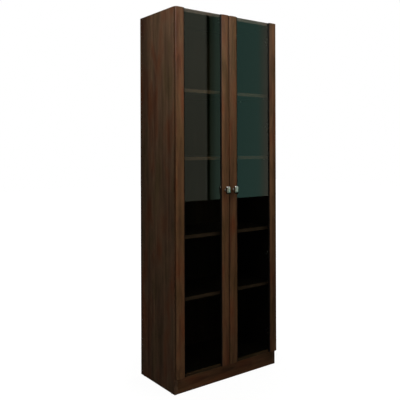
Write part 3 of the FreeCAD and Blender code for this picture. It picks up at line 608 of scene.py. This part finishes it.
# A pad is a disc whose lower edge is rounded, with or without a nail.
edge_power, nail_point = 5.0, 0.0002
pad_sizes = {"Radius": 0.0085, "Height": 0.003, "Rounding": 0.0009, "Nail Radius": 0.0, "Nail Length": 0.0}
tree, size = part_tree("round_pad", pad_sizes)
middle = add(tree, "Math", {0: size["Height"], 1: -0.5}, operation="MULTIPLY")
disc = round_bar(tree, size["Radius"], size["Height"], middle, 28, 3, 6)
spot, height, reach = from_axis(tree, size["Radius"])
reach = add(tree, "Math", {0: reach, 1: edge_power}, operation="POWER")
lift = add(tree, "Math", {0: reach, 1: size["Rounding"]}, operation="MULTIPLY")
lift = add(tree, "CombineXYZ", {"Z": lift})
under = add(tree, "FunctionNodeCompare", {0: height, 1: middle}, operation="LESS_THAN")
disc = add(tree, "GeometryNodeSetPosition", {"Geometry": disc, "Selection": under, "Offset": lift})
nail_radii = {"Radius Top": nail_point, "Radius Bottom": size["Nail Radius"]}
nail = add(tree, "GeometryNodeMeshCone", {"Vertices": 10, "Depth": size["Nail Length"], **nail_radii})
has_nail = add(tree, "FunctionNodeCompare", {0: size["Nail Length"], 1: 0.0}, operation="GREATER_THAN")
nail = add(tree, "GeometryNodeSwitch", {"Switch": has_nail, "True": nail})
pad = add(tree, "GeometryNodeJoinGeometry", {"Geometry": [disc, nail]})
pad_tree = end_tree(tree, size, pad, 6)


def pads(node, name, slot, way, face, finish, sizes):
    """Puts a round pad where each solid of a carcass node is. Its seat lies at face on the
    axis that it is driven along."""
    places = []
    for low, high in solids(node):
        place = (low + high) / 2
        place[way.index(1)] = face
        places.append(place)
    fitted(name, pad_tree, node, "carcass", slot, places, [way] * len(places), finish, **sizes)


# Moulded nylon: dark brown, slightly waxy, scuffed where it slides.
waxy = {"relief": 0.12, "IOR": 1.53}
glide_nylon = hardware_finish("moulded_nylon", "#2b221b", "#3d3128", 0.002, (0.36, 0.55), **waxy)
glide_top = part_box("right_side_panel")[0].z
glide_size = {
    "Radius": 0.0085, "Height": glide_top, "Rounding": 0.0008, "Nail Radius": 0.0012, "Nail Length": 0.012,
}
pads("floor_glides", "floor_glides_moulded", "glide_plastic", (0, 0, 1), glide_top, glide_nylon, glide_size)


# ---- Back and its screws ----
# 3 mm hardboard, slid into grooves from below and held by six pan-head screws. Its front is
# walnut foil darkened to a sixth of its tone, painted shade for the deep interior, and its
# rear is raw fibre with the mark of the wire mesh it was pressed on.
def raw_hardboard(tree, place):
    """Mesh-backed hardboard. The 1.2 mm mesh is drawn at 3 mm so that it shows."""
    fibres = add(tree, "TexNoise", {"Vector": place, "Scale": 120.0, "Detail": 6.0, "Roughness": 0.7})
    clouds = add(tree, "TexNoise", {"Vector": place, "Scale": 6.0, "Detail": 3.0})
    fibres = add(tree, "Math", {0: fibres, 1: 0.5}, operation="MULTIPLY")
    mixed = add(tree, "Math", {0: clouds, 1: 0.5, 2: fibres}, operation="MULTIPLY_ADD")
    skin = add(tree, "ValToRGB", {"Fac": mixed}, stops=[(0.35, "#4b3423"), (0.65, "#6e4e35")])
    wires = [
        add(tree, "TexWave", {"Vector": place, "Scale": 105.0}, bands_direction=way).outputs["Fac"]
        for way in ("X", "Z")
    ]
    mesh_mark = add(tree, "Math", {0: wires[0], 1: wires[1]}, operation="MULTIPLY")
    return skin.outputs["Color"], mesh_mark


# Painted shade: shade=0.16 darkens the walnut on the back's front face.
walnut_foil("back_panel", "z", (0.0, 0.25), 41.0, roughness=0.6, shade=0.16, raw=raw_hardboard)

wood_screw = {
    "Head Radius": 0.003, "Head Height": 0.0016, "Shank Radius": 0.0015, "Length": 0.014,
    "Recess Width": 0.0008, "Recess Depth": 0.0008,
}
# Its head is domed, and thread ridges run round a shank with a point or a blunt end.
dome_power, dome_drop, recess_reach = 3.0, 0.4, 0.6
thread_pitch, thread_root, tip_share = 0.0014, 0.82, 0.8
tree, size = part_tree("cross_screw", {**wood_screw, "Tip": 0.2})
head_top = add(tree, "Math", {0: size["Head Height"], 1: -1.0}, operation="MULTIPLY")
head_middle = add(tree, "Math", {0: size["Head Height"], 1: -0.5}, operation="MULTIPLY")
head = round_bar(tree, size["Head Radius"], size["Head Height"], head_middle, 24, 2, 5)
spot, height, reach = from_axis(tree, size["Head Radius"])
reach = add(tree, "Math", {0: reach, 1: dome_power}, operation="POWER")
drop = add(tree, "Math", {0: size["Head Height"], 1: dome_drop}, operation="MULTIPLY")
drop = add(tree, "Math", {0: reach, 1: drop}, operation="MULTIPLY")
drop = add(tree, "CombineXYZ", {"Z": drop})
domed = add(tree, "FunctionNodeCompare", {0: height, 1: head_middle}, operation="LESS_THAN")
head = add(tree, "GeometryNodeSetPosition", {"Geometry": head, "Selection": domed, "Offset": drop})
recess_sizes = {
    "Arm": add(tree, "Math", {0: size["Head Radius"], 1: recess_reach}, operation="MULTIPLY"),
    "Width": size["Recess Width"],
    "Depth": size["Recess Depth"],
}
recess = add(tree, "GeometryNodeGroup", recess_sizes, node_tree=cross_recess)
head_top = add(tree, "CombineXYZ", {"Z": head_top})
recess = add(tree, "GeometryNodeTransform", {"Geometry": recess, "Translation": head_top})
head = add(tree, "GeometryNodeMeshBoolean", {0: head, 1: recess}, operation="DIFFERENCE", solver="EXACT")
turns = add(tree, "Math", {0: size["Length"], 1: thread_pitch / 2}, operation="DIVIDE")
turns = add(tree, "Math", {0: turns}, operation="ROUND")
half = add(tree, "Math", {0: size["Length"], 1: 0.5}, operation="MULTIPLY")
shank = round_bar(tree, size["Shank Radius"], size["Length"], half, 10, turns)
step = add(tree, "Math", {0: size["Length"], 1: turns}, operation="DIVIDE")
ridge = add(tree, "Math", {0: height, 1: step}, operation="PINGPONG")
ridge = add(tree, "Math", {0: ridge, 1: step}, operation="DIVIDE")
ridge = add(tree, "MapRange", {"Value": ridge, "To Min": 1.0, "To Max": thread_root})
tip_start = add(tree, "Math", {0: size["Length"], 1: tip_share}, operation="MULTIPLY")
taper = {"Value": height, "From Min": tip_start, "From Max": size["Length"], "To Min": 1.0}
tip = add(tree, "MapRange", {**taper, "To Max": size["Tip"]})
girth = add(tree, "Math", {0: ridge, 1: tip}, operation="MULTIPLY")
girth = add(tree, "CombineXYZ", {"X": girth, "Y": girth, "Z": 1.0})
turned_spot = add(tree, "VectorMath", {0: spot, 1: girth}, operation="MULTIPLY")
shank = add(tree, "GeometryNodeSetPosition", {"Geometry": shank, "Position": turned_spot})
screw = add(tree, "GeometryNodeJoinGeometry", {"Geometry": [head, shank]})
screw_tree = end_tree(tree, size, screw, 8)


def screws(node, body, drive, sizes):
    """Puts a cross screw where each solid of a frame node is. drive is the way they go in, or
    x where they go outwards on both sides."""
    places, ways = [], []
    for low, high in solids(node):
        middle = (low + high) / 2
        way = Vector((math.copysign(1, middle.x), 0, 0)) if drive == "x" else Vector(drive)
        axis = [abs(v) for v in way].index(1)
        top = low[axis] if way[axis] > 0 else high[axis]
        middle[axis] = top + way[axis] * sizes["Head Height"]
        places.append(middle)
        ways.append(way)
    fitted(node + "_turned", screw_tree, node, body, "zinc_plated_steel", places, ways, plated_zinc, **sizes)


screws("back_panel_screws", "carcass", (0, -1, 0), {**wood_screw, "Length": 0.025})


# ---- Loose shelves and their pins ----
# Three foiled shelves, each lying on four steel pins that are pushed into holes in the sides.
# A pin has a round plug, a thin collar, and a tongue with rounded corners under the shelf.
walnut_foil("lower_shelf", "x", (-0.45, 0.0), 29.0, **shelf_foil)
walnut_foil("upper_shelf", "x", (-1.2, 0.02), 33.0, **shelf_foil)
walnut_foil("top_shelf", "x", (-1.6, 0.01), 37.0, **shelf_foil)

pin_rise, tongue_corner = 0.0042, 0.0016
collar_spread, collar_thickness = 1.4, 0.0006
pin_sizes = {
    "Plug Radius": 0.0025, "Plug Length": 0.009, "Tongue Length": 0.009, "Tongue Width": 0.008,
    "Rise": pin_rise, "Drop": 0.002,
}
tree, size = part_tree("shelf_pin", pin_sizes)
half = add(tree, "Math", {0: size["Plug Length"], 1: 0.5}, operation="MULTIPLY")
plug = round_bar(tree, size["Plug Radius"], size["Plug Length"], half, 20, 1, 3)
collar_radius = add(tree, "Math", {0: size["Plug Radius"], 1: collar_spread}, operation="MULTIPLY")
collar = round_bar(tree, collar_radius, collar_thickness, -collar_thickness / 2, 24, 1, 2)
tongue = {"Width": size["Tongue Length"], "Height": size["Tongue Width"]}
outline = add(tree, "GeometryNodeCurvePrimitiveQuadrilateral", tongue)
rounded = {"Curve": outline, "Radius": tongue_corner, "Count": 4}
outline = add(tree, "GeometryNodeFilletCurve", rounded, mode="POLY")
pressing = add(tree, "GeometryNodeFillCurve", {"Curve": outline}, mode="NGONS")
tall = add(tree, "Math", {0: size["Rise"], 1: size["Drop"]}, operation="ADD")
up = add(tree, "CombineXYZ", {"Z": tall})
block = add(tree, "GeometryNodeExtrudeMesh", {"Mesh": pressing, "Offset": up, "Individual": False})
base = add(tree, "GeometryNodeFlipFaces", {"Mesh": pressing})
block = add(tree, "GeometryNodeJoinGeometry", {"Geometry": [block, base]})
block = add(tree, "GeometryNodeMergeByDistance", {"Geometry": block, "Distance": 0.00001})
# The block is made lying down, so it is turned to point its length back along the plug.
inward = add(tree, "Math", {0: size["Tongue Length"], 1: -0.5}, operation="MULTIPLY")
below = add(tree, "Math", {0: size["Drop"], 1: -1.0}, operation="MULTIPLY")
tongue_place = add(tree, "CombineXYZ", {"X": below, "Z": inward})
lying = {"Geometry": block, "Translation": tongue_place, "Rotation": (0, math.pi / 2, 0)}
block = add(tree, "GeometryNodeTransform", lying)
pin = add(tree, "GeometryNodeJoinGeometry", {"Geometry": [plug, collar, block]})
pin_tree = end_tree(tree, size, pin, 0, upright=True)

# Nickel plate: warm silver, fairly bright, with faint rubbed marks.
rubbed = {"metallic": 1.0, "relief": 0.06}
nickel_plate = hardware_finish("nickel_plated_steel", "#a49c90", "#c4bcb0", 0.0012, (0.2, 0.36), **rubbed)
inner_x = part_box("right_side_panel")[0].x
pin_places, pin_drives = [], []
for low, high in solids("shelf_pins"):
    sign = math.copysign(1, low.x)
    pin_places.append((sign * inner_x, (low.y + high.y) / 2, high.z - pin_rise))
    pin_drives.append((sign, 0, 0))
fitted(
    "shelf_pins_pressed", pin_tree, "shelf_pins", "carcass", "nickel_plated_steel", pin_places, pin_drives,
    nickel_plate,
)


# ---- Hinge plates and arms ----
# A pressed cross-shaped plate is screwed to the side panel, and a cranked steel arm is
# screwed on it and reaches forward into the cup in the door. Both are nickel-plated.
def softened(node, body, round_size, finish=nickel_plate):
    """Makes a frame node's shape again with its edges rounded, as pressing or moulding leaves
    them."""
    shell = bmesh.new()
    shell.from_mesh(nodes[node].data)
    bmesh.ops.remove_doubles(shell, verts=shell.verts, dist=1e-6)
    bmesh.ops.dissolve_limit(shell, angle_limit=math.radians(1), verts=shell.verts, edges=shell.edges)
    for face in shell.faces:
        face.smooth = True
    square_edged = bpy.data.meshes.new(node + "_square")
    shell.to_mesh(square_edged)
    shell.free()
    carrier = in_scene(node + "_square", square_edged)
    edges = carrier.modifiers.new("rounded_edges", "BEVEL")
    edges.width = round_size
    edges.segments = 2
    edges.limit_method = "ANGLE"
    edges.angle_limit = math.radians(35)
    edges.harden_normals = True
    mesh = bpy.data.meshes.new_from_object(carrier.evaluated_get(bpy.context.evaluated_depsgraph_get()))
    mesh.materials.clear()
    mesh.materials.append(finish)
    bpy.data.objects.remove(carrier)
    hand_over(node + "_rounded", mesh, node, body)


softened("hinge_mounting_plates", "carcass", 0.00025)
softened("hinge_arms", "carcass", 0.0003)
plate_screw = {
    "Head Radius": 0.0042, "Head Height": 0.002, "Shank Radius": 0.0025, "Length": 0.012,
    "Recess Width": 0.0009, "Recess Depth": 0.0011,
}
arm_screw = {
    "Head Radius": 0.0045, "Head Height": 0.0022, "Shank Radius": 0.002, "Length": 0.0034,
    "Recess Width": 0.0009, "Recess Depth": 0.0012, "Tip": 0.9,
}
screws("hinge_plate_screws", "carcass", "x", plate_screw)
screws("hinge_arm_screws", "carcass", "x", arm_screw)


# ---- Magnetic catches and door bumpers ----
# Two moulded catches are screwed under the top panel. Each holds a ferrite magnet between
# two steel pole plates. Clear rubber pads stop the doors at the board edges.
# The plastic is brown with a soft sheen. Ferrite is dull dark grey and gritty.
moulded = {"relief": 0.1, "IOR": 1.53}
catch_brown = hardware_finish("moulded_catch_plastic", "#2c2018", "#3a2c22", 0.0014, (0.34, 0.48), **moulded)
sintered = {"relief": 0.3, "IOR": 2.1}
ferrite_grey = hardware_finish("sintered_ferrite", "#232426", "#36373a", 0.0007, (0.55, 0.72), **sintered)
softened("catch_housings", "carcass", 0.0006, catch_brown)
softened("catch_magnets", "carcass", 0.0003, ferrite_grey)
softened("catch_pole_plates", "carcass", 0.0002)
screws("catch_screws", "carcass", (0, 0, 1), wood_screw)

# Over the dark board edge the rubber looks a cloudy pale grey.
soft = {"relief": 0.05, "IOR": 1.5}
bumper_rubber = hardware_finish("clear_soft_rubber", "#8d8c84", "#a3a29a", 0.002, (0.22, 0.38), **soft)
bumper_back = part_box("right_side_panel")[0].y
domed = {"Radius": 0.004, "Height": 0.0022, "Rounding": 0.0009}
pads("door_bumpers", "door_bumpers_domed", "bumper_rubber", (0, 1, 0), bumper_back, bumper_rubber, domed)


# ---- Door stiles ----
# Moulded uprights with a gently crowned front and round corners, wrapped in walnut foil with
# the grain upright. The foil is a little redder and smoother than on the boards.
doors = ("left_door", "right_door")
# Painted shade: the stiles' sideways faces are darkened to half, and faces turned to the pane are near-black
# espresso.
stile_foil = {"roughness": 0.42, "shade": 1.06, "tint": "#fff9f2", "painted_flank_shade": 0.5}
for side, seed, sign in zip(doors, (45.0, 61.0), (-1, 1)):
    walnut_foil(side + "_outer_stile", "z", (sign * 0.33, -0.11), seed, shaded_side=(-sign, 0, 0), **stile_foil)
    walnut_foil(side + "_inner_stile", "z", (sign * 0.05, -0.12), seed + 5, shaded_side=(sign, 0, 0), **stile_foil)


# ---- Glass panes and glazing seals ----
# 4 mm float glass, clear with sharp reflections, held by its long edges in grooves in the
# stiles. An extruded seal's soft lip fills the corner between the glass and the stile.
float_glass, tree = blank("clear_float_glass")
coords = add(tree, "TexCoord")
smears = add(tree, "TexNoise", {"Vector": coords.outputs["Object"], "Scale": 9.0, "Detail": 4.0})
smeared = {"Value": smears, "From Min": 0.45, "From Max": 0.75, "To Max": 0.012}
polish = add(tree, "MapRange", smeared)
shine = add(tree, "BsdfAnisotropic", {"Color": (1, 1, 1, 1), "Roughness": polish})
tint = add(tree, "BsdfTransparent", {"Color": colour("#e6ebe8")})
# Both faces of a pane reflect. The near one does it for both, so that the light that comes
# through stays clear of the far one.
both_faces = 1.9
mirror = add(tree, "Fresnel", {"IOR": 1.5})
facing = add(tree, "NewGeometry").outputs["Backfacing"]
front = add(tree, "MapRange", {"Value": facing, "To Min": both_faces, "To Max": 0.0})
share = add(tree, "Math", {0: mirror, 1: front}, operation="MULTIPLY", use_clamp=True)
pane = add(tree, "MixShader", {0: share, 1: tint, 2: shine})
# Seen through its length the glass is green, so its polished top and bottom edges are too.
edge_face = turned_to(tree, coords, (0, 0, 1), 0.5, both=True)
through = add(tree, "Mix", {0: facing, 6: colour("#7d9a8b"), 7: colour("#141d18")}, data_type="RGBA")
green_edge = add(tree, "BsdfPrincipled", {"Base Color": through, "Roughness": 0.2, "IOR": 1.52})
shown = add(tree, "MixShader", {0: edge_face, 1: pane, 2: green_edge})
add(tree, "OutputMaterial", {"Surface": shown})

# Extruded PVC: nearly black brown, satin, with faint lines along the extrusion.
drawn_out = {"stretch": (3, 3, 0.05), "relief": 0.1, "Specular_IOR_Level": 0.15}
seal_pvc = hardware_finish("extruded_seal_pvc", "#0e0a08", "#19130f", 0.003, (0.5, 0.65), **drawn_out)
for side in doors:
    wear(side + "_glass_pane", float_glass)
    softened(side + "_glazing_seals", side, 0.0005, seal_pvc)


# ---- Hinge cups and pins ----
# A deep-drawn nickel-plated cup is let into the back of the outer stile at each hinge, with
# a flange and two wood screws. A riveted steel pin crosses it and carries the arm's eye.
cup_screw = {**wood_screw, "Head Height": 0.0008, "Recess Depth": 0.0005}
for side in doors:
    softened(side + "_hinge_cups", side, 0.00022)
    softened(side + "_hinge_pins", side, 0.0003)
    screws(side + "_hinge_cup_screws", side, (0, -1, 0), cup_screw)


# ---- Knobs ----
# A die-cast, satin-chromed knob on each inner stile: an upright soft-cornered head with a
# faintly crowned face, on a waisted round neck and foot, held by a screw from behind.
# Satin chrome is bright and nearly white, with faint upright brush marks. The neck and foot
# are left as blasted, rougher and duller, and their grey is darkened far below chrome's as
# painted shade behind the head.
satin = {"metallic": 1.0, "stretch": (1, 1, 0.15), "relief": 0.03}
satin_chrome = hardware_finish("satin_chrome", "#c2c2be", "#d6d6d2", 0.004, (0.08, 0.14), **satin)
blasted_chrome_painted_shade = hardware_finish("blasted_chrome_painted_shade", "#6b6b68", "#7d7d79", 0.0008, (0.44, 0.54), metallic=1.0)
low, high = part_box("right_door_knob")
knob_x, stile_crest, knob_z = (low.x + high.x) / 2, high.y, (low.z + high.z) / 2
head_w, head_h, head_corner, least_corner = high.x - low.x, high.z - low.z, 0.0065, 0.0012
head_front, head_back = stile_crest - 0.02699, stile_crest - 0.014
crown, edge, face_middle = 0.0003, 0.0045, 0.0128


def head_outline(inset):
    """Rounded rectangle round the head's axis, drawn in by inset."""
    half_w, half_h = head_w / 2 - inset, head_h / 2 - inset
    corner = max(head_corner - inset, least_corner)
    points = []
    for i, (a, b) in enumerate(((1, 1), (-1, 1), (-1, -1), (1, -1))):
        for step in range(9):
            angle = math.pi / 2 * (i + step / 8)
            x, z = a * (half_w - corner), b * (half_h - corner)
            points.append((x + corner * math.cos(angle), z + corner * math.sin(angle)))
    return points


def skinned(shell, loops):
    """Closed skin over a row of equal loops of points."""
    rows = [[shell.verts.new(point) for point in loop] for loop in loops]
    for low, high in zip(rows, rows[1:]):
        for i in range(len(low)):
            j = (i + 1) % len(low)
            shell.faces.new((low[i], low[j], high[j], high[i]))
    shell.faces.new(rows[0])
    shell.faces.new(rows[-1])


# Depth, inset and crown of the head's loops: its back, its rounded rim and its face.
rim_y = head_front + edge
section = [
    (head_back, 0.0022, 0), (head_back - 0.0003, 0.0015, 0), (head_back - 0.001, 0.0011, 0),
    (rim_y + 0.002, 0.0001, 0),
]
rim_angles = [math.pi / 12 * k for k in range(7)]
section += [(rim_y - edge * math.sin(a), edge * (1 - math.cos(a)), crown) for a in rim_angles]
section += [(head_front, edge + (face_middle - edge) * k / 7, crown) for k in range(1, 8)]
# Depth and radius of the foot and the neck, up to the head's back.
neck = [
    (0.0004, 0.008), (-0.0018, 0.008), (-0.0026, 0.0076), (-0.003, 0.0069), (-0.0036, 0.0062),
    (-0.005, 0.0057), (-0.008, 0.0055), (-0.011, 0.0059), (-0.013, 0.0067),
]
turned_part = [(stile_crest + depth, radius) for depth, radius in neck] + [(head_back - 0.0006, 0.0074)]
round_about = [math.tau * k / 40 for k in range(40)]
knob_screw = {**arm_screw, "Head Radius": 0.004, "Head Height": 0.002, "Length": 0.028}
for side, axis_x in zip(doors, (-knob_x, knob_x)):
    head_loops = [
        [
            (axis_x + x, y + 4 * rise * ((x / head_w) ** 2 + (z / head_h) ** 2), knob_z + z)
            for x, z in head_outline(inset)
        ]
        for y, inset, rise in section
    ]
    neck_loops = [
        [(axis_x + r * math.cos(a), y, knob_z + r * math.sin(a)) for a in round_about]
        for y, r in turned_part
    ]
    shell = bmesh.new()
    skinned(shell, head_loops)
    skinned(shell, neck_loops)
    bmesh.ops.recalc_face_normals(shell, faces=shell.faces)
    for face in shell.faces:
        depth = face.calc_center_median().y
        face.smooth = len(face.verts) == 4 or depth < head_back - 0.005
        face.material_index = int(depth > head_back + 0.0001)
    mesh = bpy.data.meshes.new(side + "_knob_cast")
    shell.to_mesh(mesh)
    shell.free()
    mesh.materials.append(satin_chrome)
    mesh.materials.append(blasted_chrome_painted_shade)
    hand_over(side + "_knob_cast", mesh, side + "_knob", side)
    screws(side + "_knob_screw", side, (0, -1, 0), knob_screw)


# ---- Strike plates ----
# A thin nickel-plated plate is screwed to the back of each inner stile, where the magnet's
# two pole plates meet it.
strike_screw = {**cup_screw, "Length": 0.011}
for side in doors:
    softened(side + "_strike_plate", side, 0.00025)
    screws(side + "_strike_screw", side, (0, -1, 0), strike_screw)
